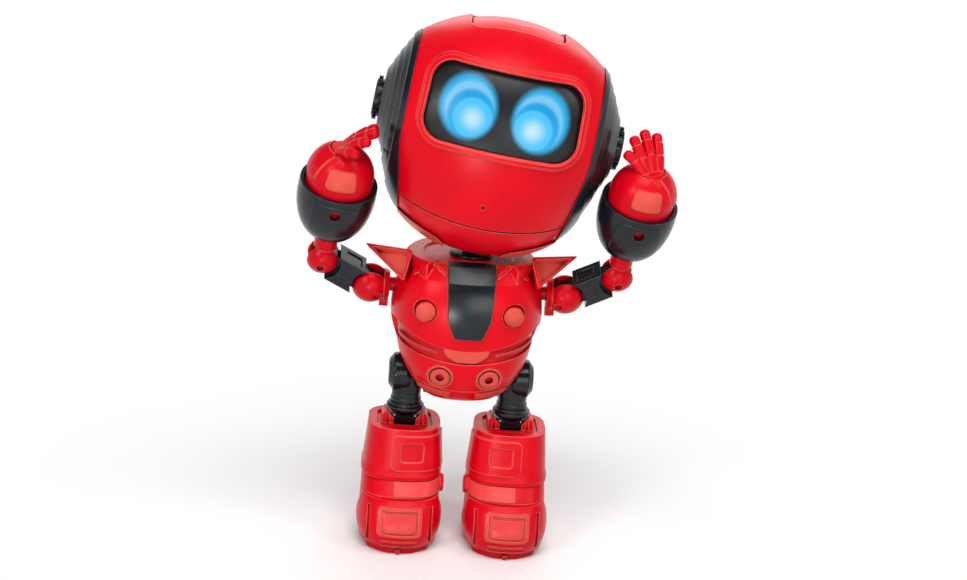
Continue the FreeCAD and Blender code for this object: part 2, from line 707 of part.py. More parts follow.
def battery_door():
    """Snap-in door with two grip grooves and its screw hole."""
    door = skin(back_form, 0.0, -0.95, rear_opening(-0.12))
    grip = [rod(0.5, (-3.5, 13.55, z), (3.5, 13.55, z)) for z in (43.0, 44.4)]
    x, z = DOOR_SCREW
    return cut(door, *grip, rod(0.75, (x, 0, z), (x, 20, z)), rod(1.4, (x, 13.5, z), (x, 20, z)))


def torso_screws():
    screws = [pan_head_screw((x, 6.0, z), (0, -1, 0), 9.0, 1.45) for x, z in REAR_SCREWS]
    x, z = DOOR_SCREW
    screws.append(pan_head_screw((x, 13.5, z), (0, -1, 0), 2.8, 1.3))
    return screws


def chest_buttons():
    """Two domed studs in shallow moats on the chest."""
    studs = []
    for side in (-1, 1):
        x = side * BUTTON_X
        stem = rod(2.2, (x, -20, BUTTON_Z), (x, -8, BUTTON_Z))
        studs.append(stem.common(ball(3.4, (x, -11.0, BUTTON_Z))).cut(chest_form(-0.5)))
    return studs


def belly_rings():
    """Two ring bezels on the belly: outer ring, groove, inner ring and a centre dimple."""
    rings = []
    for side in (-1, 1):
        x = side * RING_X

        def bar(radius, x=x):
            return rod(radius, (x, -20, RING_Z), (x, -6, RING_Z))

        outer = skin(belly_form, 0.25, -0.4, bar(2.95))
        groove = bar(2.45).cut(bar(2.15)).cut(belly_form(-0.15))
        inner = skin(belly_form, 0.75, -0.4, bar(2.15))
        dimple = bar(0.95).cut(belly_form(-0.1))
        rings.append(fuse(outer.cut(groove), inner).cut(dimple))
    return rings


def wing():
    """Left shoulder wing: an open triangular scoop that faces forward and up."""
    tip, inner, low = Vector(24.0, -3.0, 68.3), Vector(13.2, -5.6, 68.1), Vector(15.0, -9.9, 62.0)
    normal = (inner - tip).cross(low - tip).normalize()
    if normal.y > 0:
        normal = normal * -1
    middle = (tip + inner + low) * (1.0 / 3)
    root = Vector(13.4, -4.0, 63.6)

    def triangle(scale, depth, pull, corner):
        points = [middle + (p - middle) * scale for p in (tip, inner, low)]
        points = [p - normal * depth + (root - p) * pull for p in points]
        edges = []
        for i, point in enumerate(points):
            ahead = points[(i + 1) % 3] - point
            behind = points[i - 1] - point
            start = point + behind * (corner / behind.Length)
            end = point + ahead * (corner / ahead.Length)
            bend = Part.BezierCurve()
            bend.setPoles([start, point, end])
            edges.append(bend.toShape())
            following = points[(i + 1) % 3]
            onward = following + (point - following) * (corner / ahead.Length)
            edges.append(Part.LineSegment(end, onward).toShape())
        return Part.Wire(edges)

    outer = loft(
        [triangle(1.0, 0.0, 0.0, 0.9), triangle(1.0, 1.3, 0.04, 0.9), triangle(0.9, 4.6, 0.5, 0.7)], True)
    scoop = loft([triangle(0.80, -0.2, 0.0, 0.6), triangle(0.66, 1.5, 0.08, 0.4)], True)
    return cut(outer, scoop, chest_form(0.06), rod(14.6, (0, 0, 60.0), (0, 0, 67.3)))


def speaker():
    can = turned([
        (0, 0), (4.6, 0), (4.6, 1.6), (SPEAKER_RADIUS, 1.8),
        (SPEAKER_RADIUS, 3.0), (6.3, 3.0), (2.4, 2.2), (0, 2.5),
    ])
    can.rotate(Vector(), Vector(1, 0, 0), 90)
    can.translate(Vector(0, -6.6, 54.6))
    return can


def main_board():
    board = prism(rectangle(-8.8, 8.8, 43.6, 60.0, 0.8), "front", -3.4, -2.2)
    chip = block(-3.0, 3.0, -4.6, -3.4, 45.0, 48.6)
    socket = rod(4.6, (0, -6.6, 54.6), (0, -3.4, 54.6)).cut(rod(3.8, (0, -7, 54.6), (0, -3.4, 54.6)))
    return fuse(board, chip, socket)


def button_cells():
    cells = []
    for i in range(3):
        x0 = (i - 1.5) * CELL_LENGTH
        cell = turned([(0, x0), (CELL_RADIUS - 0.9, x0), (CELL_RADIUS - 0.9, x0 + 0.4), (CELL_RADIUS, x0 + 0.6, 0.3),
                       (CELL_RADIUS, x0 + CELL_LENGTH, 0.4), (0, x0 + CELL_LENGTH)], "x")
        cell.translate(Vector(0, *CELL_CENTRE))
        cells.append(cell)
    return cells


def battery_contacts():
    """Two sprung metal plates at the ends of the cell stack."""
    plates = []
    for side in (-1, 1):
        x0, x1 = sorted((side * 8.1, side * 8.2))
        plates.append(block(x0, x1, 2.5, 8.0, 42.5, 50.5))
    return plates


def power_switch():
    """Slide knob in a slot of the back, with its keeper plate inside."""
    knob = prism(rectangle(-2.5, -0.5, 60.7, 62.3, 0.3), "front", 9.0, 12.9)
    groove = [block(-2.2 + 0.6 * i, -1.95 + 0.6 * i, 12.6, 14, 60, 63) for i in range(3)]
    keeper = block(-4.2, 1.2, 8.6, 9.4, 60.2, 62.8)
    return cut(fuse(knob, keeper), *groove)


# ------------------------------------------------------------------ arms, left arm with the shoulder at the origin
def shoulder_ball():
    """Ball hub: axle into the chest, slot and cross pin for the upper link, two clamp screws' wells."""
    hub = ball(SHOULDER_BALL, (0, 0, 0)).common(block(-4.0, 9, -9, 9, -9, 9))
    neck = taper(3.0, 3.6, (-4.3, 0, 0), (-3.0, 0, 0))
    axle = rod(1.6, (-7.6, 0, 0), (-3.0, 0, 0))
    stub = rod(1.5, (-4.2, -0.6, -4.0), (-2.2, -0.6, -4.0))
    hub = fuse(hub, neck, axle)
    hub = fuse(hub, stub)
    slot = block(-2.9, 9, -1.75, 1.75, -9, 9)
    pin = rod(1.2, (0, -2.5, 0), (0, 2.5, 0))
    hub = fuse(cut(hub, slot), pin)
    well = rod(0.95, (-1.5, -9, -1.0), (-1.5, -3.1, -1.0))
    return cut(hub, well, rod(0.95, (-1.5, 3.1, -1.0), (-1.5, 9, -1.0)))


def upper_link():
    """Box link between shoulder and elbow with a tongue at each end."""
    body = prism([(1.6, -3.3, 0.5), (LINK_LENGTH - 1.6, -3.3, 0.5), (LINK_LENGTH - 1.6, 3.3, 0.5), (1.6, 3.3, 0.5)],
                 "front", -2.9, 2.9)
    body = cut(body, rod(SHOULDER_BALL + 0.3, (0, -5, 0), (0, 5, 0)),
               rod(ELBOW_BALL + 0.3, (LINK_LENGTH, -5, 0), (LINK_LENGTH, 5, 0)))
    tongue = prism([(-2.6, -2.6, 2.59), (LINK_LENGTH + 2.6, -2.6, 2.59), (LINK_LENGTH + 2.6, 2.6, 2.59), (-2.6, 2.6, 2.59)],
                   "front", -1.5, 1.5)
    link = fuse(body, tongue)
    mark = cut(rod(1.3, (6.2, -3.2, 0), (6.2, -2.7, 0)), rod(0.85, (6.2, -3.3, 0), (6.2, -2.6, 0)))
    side_groove = block(4.4, 8.4, -1.7, 1.7, 3.0, 3.6)
    bores = [rod(1.2 + RUN, (x, -5, 0), (x, 5, 0)) for x in (0, LINK_LENGTH)]
    return cut(link, mark, side_groove, *bores)


def cup_form(grow=0.0):
    """Barrel of the forearm, revolved about its own axis."""
    foot, rim = CUP_FOOT, CUP_RIM
    points = [
        Vector(CUP_FOOT_RADIUS + grow, 0, foot),
        Vector(6.4 + grow, 0, foot + 1.9),
        Vector(CUP_RADIUS - 0.75 + grow, 0, foot + 5.3),
        Vector(CUP_RADIUS - 0.05 + grow, 0, foot + 9.5),
        Vector(CUP_RADIUS - 0.2 + grow, 0, rim),
    ]
    curve = Part.BSplineCurve()
    curve.interpolate(points)
    low, high = Vector(0, 0, foot), Vector(0, 0, rim)
    edges = [curve.toShape(), Part.LineSegment(points[-1], high).toShape()]
    edges += [Part.LineSegment(high, low).toShape(), Part.LineSegment(low, points[0]).toShape()]
    return Part.Face(Part.Wire(edges)).revolve(Vector(), Vector(0, 0, 1), 360)


def forearm_cup():
    """Black forearm: open barrel, stiffening web at its foot, screw well in front, toothed foot edge."""
    barrel = cup_form()
    inside = turned([
        (0, CUP_FOOT + 3.2), (CUP_RADIUS - CUP_WALL - 1.9, CUP_FOOT + 3.2), (CUP_RADIUS - CUP_WALL, CUP_FOOT + 7.4),
        (CUP_RADIUS - CUP_WALL, 60.0), (0, 60.0),
    ])
    panel = cup_form(0.25).common(prism(rectangle(-5.2, 5.2, CUP_FOOT + 3.0, CUP_RIM - 2.2, 1.6), "front", -30, 0))
    cup = fuse(barrel, panel).cut(inside)
    slant = prism([(-30, CUP_RIM - 1.6), (30, CUP_RIM + 0.6), (30, CUP_RIM + 9), (-30, CUP_RIM + 9)], "side", -30, 30)
    cup = cut(cup, slant)
    cup = cut(cup, rod(1.2, (0, -30, CUP_RIM - 4.2), (0, 0, CUP_RIM - 4.2)))
    neck_hole = rod(2.6, (0, 0, 0), (0, 0, 40))
    recess = turned([(0, CUP_FOOT - 1), (3.9, CUP_FOOT - 1), (3.9, CUP_FOOT + 1.4), (0, CUP_FOOT + 1.4)])
    cup = cut(cup, neck_hole, recess)
    notches = []
    for i in range(16):
        notch = block(-0.4, 0.4, -6.5, -3.6, CUP_FOOT - 0.5, CUP_FOOT + 0.55)
        notch.rotate(Vector(), Vector(0, 0, 1), 22.5 * i)
        notches.append(notch)
    return cut(cup, *notches)


def elbow_ball():
    """Ball on the forearm's foot: slot and cross pin for the link, neck pressed into the cup."""
    joint = fuse(ball(ELBOW_BALL, (0, 0, 0)), rod(2.6, (0, 0, 2.0), (0, 0, CUP_FOOT + 3.2)))
    joint = fuse(joint, turned([
        (0, CUP_FOOT + 3.2), (4.2, CUP_FOOT + 3.2), (4.2, CUP_FOOT + 4.2), (0, CUP_FOOT + 4.2),
    ]))
    slot = block(-9, 9, -1.75, 1.75, -9, 3.0)
    joint = cut(joint, slot)
    pin = rod(1.2, (0, -2.5, 0), (0, 2.5, 0))
    well = rod(0.85, (0.3, -9, -0.9), (0.3, -2.7, -0.9))
    return cut(fuse(joint, pin), well, rod(0.85, (0.3, 2.7, -0.9), (0.3, 9, -0.9)))


def hand_shell():
    """Domed hand that turns in the forearm, with a square pad, a side plate and the fingers' socket."""
    centre = (0, 0, HAND_BASE)
    skirt = rod(HAND_RADIUS, (0, 0, CUP_FOOT + 8.0), centre)
    dome = ball(HAND_RADIUS, centre).common(block(-9, 9, -9, 9, HAND_BASE, HAND_BASE + 9))
    pad = prism([(-3.4, HAND_BASE + 0.4, 0.8), (3.4, HAND_BASE + 0.4, 0.8), (2.8, HAND_BASE + 4.6, 0.9),
                 (-2.8, HAND_BASE + 4.6, 0.9)], "front", -30, 0)
    plate = prism([(2.2, 3.0), (2.2, -3.4, 0.8), (9.0, -6.0), (9.0, 6.0)], "plan", HAND_BASE + 1.0, HAND_BASE + 9)
    raised = Part.makeCompound([pad, plate]).common(ball(HAND_RADIUS + 0.3, centre))
    hand = fuse(skirt, dome, raised)
    inner = fuse(rod(HAND_RADIUS - WALL, (0, 0, 0), centre), ball(HAND_RADIUS - WALL, centre))
    seat = rod(4.4, (0, 0, FINGER_SEAT - 3.0), (0, 0, FINGER_SEAT + 3.0)).common(ball(HAND_RADIUS - 0.3, centre))
    socket = rod(3.5, (0, 0, FINGER_SEAT - 2.25), (0, 0, FINGER_SEAT + 9.0))
    return cut(fuse(hand.cut(inner), seat), socket)


def aimed(shape, start, direction):
    """A shape made along +Z from the origin, placed at a point and turned to a direction."""
    shape.Placement = Placement(Vector(start), Rotation(Vector(0, 0, 1), Vector(direction)))
    return shape


def finger_segment(radius, length, tip):
    """One phalanx: a narrow foot that sits in the one before, and a rounded end."""
    end_round = 0.8 * radius if tip else 0.45
    return turned([(0, -0.5), (0.7 * radius, -0.5), (radius, 0.5), (radius, length, end_round), (0, length)])


def finger_chain(foot, way, bend, lengths, radius):
    """Phalanges end to end, each turned a little further about the hand's Y axis."""
    segments = []
    for i, length in enumerate(lengths):
        tip = i == len(lengths) - 1
        segments.append(aimed(finger_segment(radius - 0.08 * i, length, tip), foot, way))
        foot = foot + way * (length - 0.15)
        way = Rotation(Vector(0, 1, 0), bend).multVec(way)
    return segments


def finger_set():
    """Three jointed fingers and a thumb on one palm pad, seated in the hand's socket."""
    base = Vector(0, 0, FINGER_SEAT)
    pieces = [turned([(0, -2.2), (3.4, -2.2), (3.4, 1.4, 0.6), (0, 1.4)])]
    pieces[0].translate(base)
    rows = ((1.9, 11.0, (3.7, 3.0, 2.3)), (0.3, 0.0, (4.2, 3.3, 2.5)), (-1.3, -11.0, (3.8, 3.0, 2.3)))
    for row, spread, lengths in rows:
        way = Rotation(FINGER_RISE, -spread).multVec(FINGER_LEAN)
        pieces += finger_chain(base + Vector(0.6, row, 0.6), way, -8.0, lengths, FINGER_RADIUS)
    thumb = Vector(-0.62, -0.5, 0.60).normalize()
    pieces += finger_chain(base + Vector(0.9, -1.9, 0.8), thumb, -22.0, (3.8, 3.0), 1.25)
    return fuse(*pieces)


# ------------------------------------------------------------------ legs, left leg at its place
def hip_knuckle():
    """Knuckle that swings on its axle in the pelvis and carries the leg's twist bore."""
    disc = turned([(0, 11.6), (HIP_RADIUS - 0.4, 11.6, 0.3), (HIP_RADIUS, 12.6, 0.3), (HIP_RADIUS, 15.3, 0.6),
                   (HIP_RADIUS - 1.5, HIP_OUTER, 0.5), (0, HIP_OUTER)], "x")
    boss = rod(3.2, (8.6, 0, 0), (12, 0, 0))
    axle = rod(1.6, (4.4, 0, 0), (9, 0, 0))
    keeper = rod(2.3, (4.3, 0, 0), (5.7, 0, 0))
    knuckle = fuse(disc, boss, axle, keeper)
    knuckle.translate(Vector(0, 0, HIP_Z))
    stub = rod(3.4, (LEG_X, 0, TWIST_Z + 0.1), (LEG_X, 0, HIP_Z))
    knuckle = fuse(knuckle, stub)
    eye = cut(rod(2.6, (15.9, 0, HIP_Z), (17, 0, HIP_Z)), rod(1.9, (15, 0, HIP_Z), (18, 0, HIP_Z)))
    return cut(knuckle, eye, rod(1.6 + RUN, (LEG_X, 0, 30), (LEG_X, 0, 37.0)))


def leg_post():
    """Ringed lower leg: twist spigot, grooved tube, collar, cone and the ankle tongue."""
    post = turned([
        (0, 26.6), (2.35, 26.6), (2.35, 28.2), (4.2, 29.9), (4.3, 30.0, 0.2), (4.3, 30.7, 0.3), (3.75, 30.9),
        (3.75, 31.4, 0.2), (3.3, 31.5), (3.3, 31.8), (3.5, 31.9), (3.5, 32.4), (3.3, 32.5), (3.3, TWIST_Z + BODY_LIFT),
        (1.6, TWIST_Z + BODY_LIFT), (1.6, 36.6 + BODY_LIFT), (0, 36.6 + BODY_LIFT),
    ])
    post = cut(post, block(-9, 9, -9, 9, 20, 28.2))
    tongue_outline = [(-2.2, 29.0), (2.2, 29.0), (2.2, ANKLE_Z - 2.2, 2.19), (-2.2, ANKLE_Z - 2.2, 2.19)]
    tongue = prism(tongue_outline, "side", -2.2, 2.2)
    post = fuse(post, tongue)
    post = cut(post, block(-1.7, 1.7, -3.0, -1.9, 26.4, 28.0))
    post = cut(post, rod(ANKLE_PIN_RADIUS + RUN, (-5, 0, ANKLE_Z), (5, 0, ANKLE_Z)))
    post.translate(Vector(LEG_X, 0, 0))
    return post


def ankle_pin():
    return rod(ANKLE_PIN_RADIUS, (LEG_X - 5.1, 0, ANKLE_Z), (LEG_X + 5.1, 0, ANKLE_Z))


def boot_upper_form(grow=0.0):
    wires = [
        oval(9.25 + grow, 9.6 + grow, BOOT_RIDGE - 0.9, BOOT_POWER, 0.0, 16),
        oval(9.3 + grow, 9.7 + grow, BOOT_RIDGE, BOOT_POWER, 0.0, 16),
        oval(8.95 + grow, 9.2 + grow, BOOT_RIDGE + 1.6, BOOT_POWER, 0.0, 16),
        oval(8.2 + grow, 8.1 + grow, BOOT_TOP, BOOT_POWER, 0.0, 16),
    ]
    return loft(wires, True)


def boot_foot_form(grow=0.0):
    """Ankle, heel and vamp below the ridge, sloping forward to the toe cap."""
    wires = [
        oval(9.0 + grow, 12.6 + grow, SOLE_THICK, BOOT_POWER, -3.2, 16),
        oval(9.2 + grow, 12.4 + grow, 6.0, BOOT_POWER, -3.0, 16),
        oval(9.1 + grow, 11.3 + grow, 10.8, BOOT_POWER, -1.9, 16),
        oval(8.9 + grow, 9.6 + grow, 14.6, BOOT_POWER, -0.4, 16),
        oval(8.8 + grow, 9.2 + grow, BOOT_RIDGE - 0.9, BOOT_POWER, 0.0, 16),
    ]
    return loft(wires)


def toe_form(grow=0.0):
    """Bulging toe cap."""
    wires = [
        oval(8.4 + grow, 10.4 + grow, SOLE_THICK - 0.2, 2.5, -5.8, 16),
        oval(9.7 + grow, 11.9 + grow, 5.0, 2.5, -5.6, 16),
        oval(9.6 + grow, 11.2 + grow, 8.8, 2.5, -5.4, 16),
        oval(8.9 + grow, 8.9 + grow, 12.0 + grow, 2.5, -5.0, 16),
    ]
    return loft(wires)


def toe_zone():
    return prism([(-30, -5), (-4.6, -5), (-4.6, 4.0, 3.0), (-8.6, 11.2, 3.0), (-8.6, 20), (-30, 20)], "side", -15, 15)


def boot_upper():
    """Shin of the boot: open socket for the ankle tongue, two lugs for the pin, raised side panel."""
    shell = boot_upper_form()
    frame = boot_upper_form(0.4).common(prism(rectangle(-13.0, 2.6, 17.6, 25.6, 1.4), "front", -FAR, -1.0)).common(
        block(-20, 20, -20, 20, BOOT_RIDGE + 0.6, BOOT_TOP - 0.6))
    well = prism(rectangle(-4.6, 0.6, 19.6, 24.0, 0.8), "front", -FAR, -1.0)
    frame = frame.cut(well.cut(boot_upper_form(0.05)))
    shell = fuse(shell, frame)
    lug = [
        (2.5, BOOT_TOP - 1.0), (2.5, 27.7), (4.0, 29.3, 0.2),
        (4.7, 29.3, 0.3), (5.3, 28.3, 0.3), (5.3, BOOT_TOP - 1.0),
    ]
    ear = prism(lug, "front", -2.4, 2.4)
    ear = cut(ear, block(3.5, 4.1, -2.6, -2.0, 20, 40))
    socket = block(-2.5, 2.5, -2.8, 2.8, 24.9, 40)
    dish = prism(rectangle(-6.2, 6.2, -5.4, 5.4, 2.0), "plan", BOOT_TOP - 0.6, 40)
    shell = fuse(cut(shell, dish), ear, mirrored(ear))
    shell = cut(shell, socket, rod(ANKLE_PIN_RADIUS, (-5.1, 0, ANKLE_Z), (5.1, 0, ANKLE_Z)))
    cavity = prism(rectangle(-6.6, 6.6, -6.8, 6.8, 2.0), "plan", 0, 24.0)
    return cut(shell, cavity)


def boot_foot():
    """Heel and vamp, with the raised band on the inner side and a round side boss."""
    shell = boot_foot_form()
    band = [(-14.0, 12.4), (1.6, 12.4, 0.3), (1.6, 15.1), (-14.0, 15.1)]
    raised = boot_foot_form(0.35).common(prism(band, "front", -FAR, 0.0)).common(block(-20, 20, -20, 20, 0, 15.3))
    boss = turned([(0, 0), (2.1, 0), (2.1, 1.3, 0.4), (1.2, 1.3, 0.2), (1.0, 0.9), (0, 0.9)])
    boss.rotate(Vector(), Vector(0, 1, 0), -90)
    boss.translate(Vector(-8.6, -3.4, 13.0))
    shell = fuse(shell, raised, boss)
    cavity = prism(rectangle(-7.0, 7.0, -12.4, 7.4, 2.5), "plan", 0, 20).common(boot_foot_form(-WALL))
    return cut(shell, cavity, toe_form(0.0).common(toe_zone()), block(-20, 20, -20, 20, -5, SOLE_THICK))


def toe_cap():
    """Toe cap with side flutes, a nested pillow emboss and two ribs over the sole."""
    cap = toe_form().common(toe_zone())
    flute = block(6.7, 7.3, -30, -4, 2.8, 10.6)
    cap = cut(cap, flute.cut(toe_form(-0.3)), mirrored(flute).cut(toe_form(-0.3)))
    outer = prism(rectangle(-5.0, 5.0, 4.6, 11.0, 0.9), "front", -30, -5)
    moat = prism(rectangle(-4.2, 4.2, 5.3, 10.3, 0.7), "front", -30, -5)
    pillow = prism(rectangle(-3.6, 3.6, 5.8, 9.8, 0.7), "front", -30, -5)
    raised = toe_form(0.35).common(outer).cut(moat)
    cushion = toe_form(0.45).common(pillow)
    cap = fuse(cap, raised.cut(toe_form(-0.5)), cushion.cut(toe_form(-0.5)))
    for level in (1.9, 3.1):
        rib = block(-4.0, 4.0, -30, -5, level, level + 0.45)
        cap = fuse(cap, toe_form(0.3).common(rib).cut(toe_form(-0.5)))
    cap = cut(cap, block(-20, 20, -30, 20, -5, SOLE_THICK))
    return cut(cap, toe_form(-WALL).common(block(-20, 20, -15.5, -4.4, 0, 9.0)))


def boot_sole():
    """Sole plate with a rounded toe, tread grooves and a small nub at the tip."""
    outline = [(-7.6, 8.4, 4.0), (7.6, 8.4, 4.0), (7.9, -6.0, 20.0), (6.9, -12.6, 4.0), (2.8, -15.7, 4.0),
               (-2.8, -15.7, 4.0), (-6.9, -12.6, 4.0), (-7.9, -6.0, 20.0)]
    plate = prism(outline, "plan", 0.0, SOLE_THICK)
    grooves = [block(-6.0, 6.0, y, y + 1.0, -1.0, 0.4) for y in (-12.5, -9.5, 3.5, 6.0)]
    nub = rod(0.6, (0, -16.6, 0.7), (0, -15.0, 0.7))
    return fuse(cut(plate, *grooves), nub)


# ------------------------------------------------------------------ assembly
def head_placement():
    turn = Rotation(Vector(0, 0, 1), HEAD_TURN).multiply(Rotation(Vector(0, 1, 0), HEAD_TILT))
    pivot = Vector(0, 0, NECK_PIVOT_Z + BODY_LIFT)
    return Placement(pivot + turn.multVec(Vector(0, 0, NECK_DROP)), turn)


def arm_placements(side):
    """Placements of shoulder, link, forearm and hand for one arm in the rest pose."""
    along_x = Vector(1, 0, 0)
    along_y = Vector(0, 1, 0)
    centre = Vector(side * SHOULDER[0], SHOULDER[1], SHOULDER[2] + BODY_LIFT)
    shoulder = Placement(centre, Rotation(along_x, ARM_SWING))
    link = shoulder.multiply(Placement(Vector(), Rotation(along_y, -side * LINK_RAISE[side])))
    elbow = shoulder.multiply(Placement(
        Rotation(along_y, -side * LINK_RAISE[side]).multVec(Vector(side * LINK_LENGTH, 0, 0)),
        Rotation(along_y, FOREARM_LEAN[side]),
    ))
    hand = elbow.multiply(Placement(Vector(), Rotation(Vector(0, 0, 1), HAND_SPIN[side])))
    return shoulder, link, elbow, hand


def placed(shape, placement):
    shapes = shape if isinstance(shape, list) else [shape]
    moved = []
    for item in shapes:
        item = item.copy()
        item.Placement = placement.multiply(item.Placement)
        moved.append(item)
    return moved if isinstance(shape, list) else moved[0]


def head_nodes():
    casing = head_casing()
    pod = ear_pod()
    local = {
        "head_front_shell": head_front_shell(casing),
        "head_rear_shell": head_rear_shell(casing),
        "chin_shell": chin_shell(casing),
        "touch_panel": touch_panel(),
        "touch_spring": touch_spring(),
        "visor_lens": visor_lens(),
        "eye_diffusers": eye_diffusers(),
        "eye_board": eye_board(),
        "microphone": microphone(),
        "head_screws": head_screws(),
        "left_ear_pod": pod,
        "right_ear_pod": mirrored(pod),
        "neck_bracket": neck_bracket(),
        "neck_pin": neck_pin(),
    }
    return {name: placed(shape, head_placement()) for name, shape in local.items()}


def torso_nodes():
    left_wing = wing()
    local = {
        "chest_shell": chest_shell(),
        "torso_rear_shell": torso_rear_shell(),
        "waist_band": waist_band(),
        "belly_shell": belly_shell(),
        "pelvis_pan": pelvis_pan(),
        "chest_panel": chest_panel(),
        "chest_buttons": chest_buttons(),
        "belly_rings": belly_rings(),
        "left_wing": left_wing,
        "right_wing": mirrored(left_wing),
        "battery_door": battery_door(),
        "torso_screws": torso_screws(),
        "speaker": speaker(),
        "main_board": main_board(),
        "button_cells": button_cells(),
        "battery_contacts": battery_contacts(),
        "power_switch": power_switch(),
    }
    lift = Vector(0, 0, BODY_LIFT)
    nodes = {name: placed(shape, Placement(lift, Rotation())) for name, shape in local.items()}
    nodes["neck_post"] = placed(neck_post(), Placement(lift, Rotation(Vector(0, 0, 1), HEAD_TURN)))
    return nodes


def arm_nodes():
    """Both arms: each piece is made once as a left one and mirrored for the right."""
    built = {
        "shoulder_ball": shoulder_ball(),
        "upper_link": upper_link(),
        "elbow_ball": elbow_ball(),
        "forearm_cup": forearm_cup(),
        "hand_shell": hand_shell(),
        "fingers": finger_set(),
    }
    nodes = {}
    for side, prefix in ((1, "left_"), (-1, "right_")):
        shoulder, link, elbow, hand = arm_placements(side)
        fingers = hand.multiply(Placement(Vector(), Rotation(Vector(0, 0, 1), FINGER_SPIN[side])))
        places = (shoulder, link, elbow, elbow, hand, fingers)
        for (name, shape), place in zip(built.items(), places):
            nodes[prefix + name] = placed(for_side(shape, side), place)
    return nodes


def leg_nodes():
    """Both legs, from one left leg and its mirror image."""
    at_leg = Placement(Vector(LEG_X, 0, 0), Rotation())
    built = {
        "hip_knuckle": placed(hip_knuckle(), Placement(Vector(0, 0, BODY_LIFT), Rotation())),
        "leg_post": leg_post(),
        "ankle_pin": ankle_pin(),
        "boot_upper": placed(boot_upper(), at_leg),
        "boot_foot": placed(boot_foot(), at_leg),
        "toe_cap": placed(toe_cap(), at_leg),
        "boot_sole": placed(boot_sole(), at_leg),
    }
    nodes = {}
    for side, prefix in ((1, "left_"), (-1, "right_")):
        for name, shape in built.items():
            nodes[prefix + name] = for_side(shape, side)
    return nodes


def all_nodes():
    nodes = head_nodes()
    nodes.update(torso_nodes())
    nodes.update(arm_nodes())
    nodes.update(leg_nodes())
    origin = Placement(GROUND_CENTRE * -1, Rotation())
    return {name: placed(shape, origin) for name, shape in nodes.items()}


def main():
    os.makedirs("parts", exist_ok=True)
    for name, shape in all_nodes().items():
        if isinstance(shape, list):
            shape = Part.makeCompound(shape)
        shape.exportStep("parts/" + name + ".step")


if __name__ == "__main__":
    main()
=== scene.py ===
"""Looks of the toy robot: glossy red and black mouldings, a smoked visor with two glowing eyes, and a
pale studio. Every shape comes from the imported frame; metres, +Z up, the robot faces -Y."""
import json
import math

import bmesh
import bpy
import numpy
from mathutils import Matrix, Vector


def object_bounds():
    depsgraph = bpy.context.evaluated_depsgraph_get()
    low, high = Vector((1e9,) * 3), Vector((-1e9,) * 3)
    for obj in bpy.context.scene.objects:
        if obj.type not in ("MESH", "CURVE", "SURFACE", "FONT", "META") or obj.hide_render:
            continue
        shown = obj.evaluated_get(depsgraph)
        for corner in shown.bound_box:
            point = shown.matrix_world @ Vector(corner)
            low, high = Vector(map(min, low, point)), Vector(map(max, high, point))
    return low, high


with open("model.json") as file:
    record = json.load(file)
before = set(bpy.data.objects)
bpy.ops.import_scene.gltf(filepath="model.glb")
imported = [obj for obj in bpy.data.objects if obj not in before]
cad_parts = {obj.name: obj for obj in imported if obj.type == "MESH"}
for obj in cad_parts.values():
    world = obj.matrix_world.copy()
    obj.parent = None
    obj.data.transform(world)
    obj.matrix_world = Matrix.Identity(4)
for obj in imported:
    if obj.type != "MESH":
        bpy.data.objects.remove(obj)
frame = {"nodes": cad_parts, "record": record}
nodes = frame["nodes"]
cad_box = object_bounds()

MM = 0.001

# ---------------------------------------------------------------- camera of the photograph
AZIMUTH, ELEVATION, ROLL = -4.3, 17.0, 4.8      # degrees
DISTANCE = 0.50
LENS = 82.2
AIM = Vector((-2.3, 0.6, 58.0)) * MM            # the point looked at, about halfway up
OFF_CENTRE = (3.6 * MM, 0.6 * MM)               # the robot stands a little left of and below the middle
CLIP = (0.01, 20.0)


def make_camera():
    a, e, r = (math.radians(v) for v in (AZIMUTH, ELEVATION, ROLL))
    back = Vector((math.sin(a) * math.cos(e), -math.cos(a) * math.cos(e), math.sin(e)))
    right = Vector((math.cos(a), math.sin(a), 0.0))
    up = back.cross(right)
    tilted_right = math.cos(r) * right + math.sin(r) * up
    tilted_up = math.cos(r) * up - math.sin(r) * right
    place = AIM + OFF_CENTRE[0] * tilted_right + OFF_CENTRE[1] * tilted_up + DISTANCE * back
    data = bpy.data.cameras.new("camera")
    data.lens = LENS
    data.clip_start, data.clip_end = CLIP
    camera = bpy.data.objects.new("camera", data)
    bpy.context.scene.collection.objects.link(camera)
    turn = Matrix((tilted_right, tilted_up, back)).transposed().to_4x4()
    camera.matrix_world = Matrix.Translation(place) @ turn
    bpy.context.scene.camera = camera


# ---------------------------------------------------------------- node helpers
BEVEL_SAMPLES, OCCLUSION_SAMPLES = 6, 8
EDGE_FLAT, EDGE_TURNED = 0.985, 0.90    # cosines between which a surface counts more and more as an edge


def shade(colour, factor):
    """The colour, darker or lighter by a factor."""
    return [channel * factor for channel in colour[:3]] + [1.0]


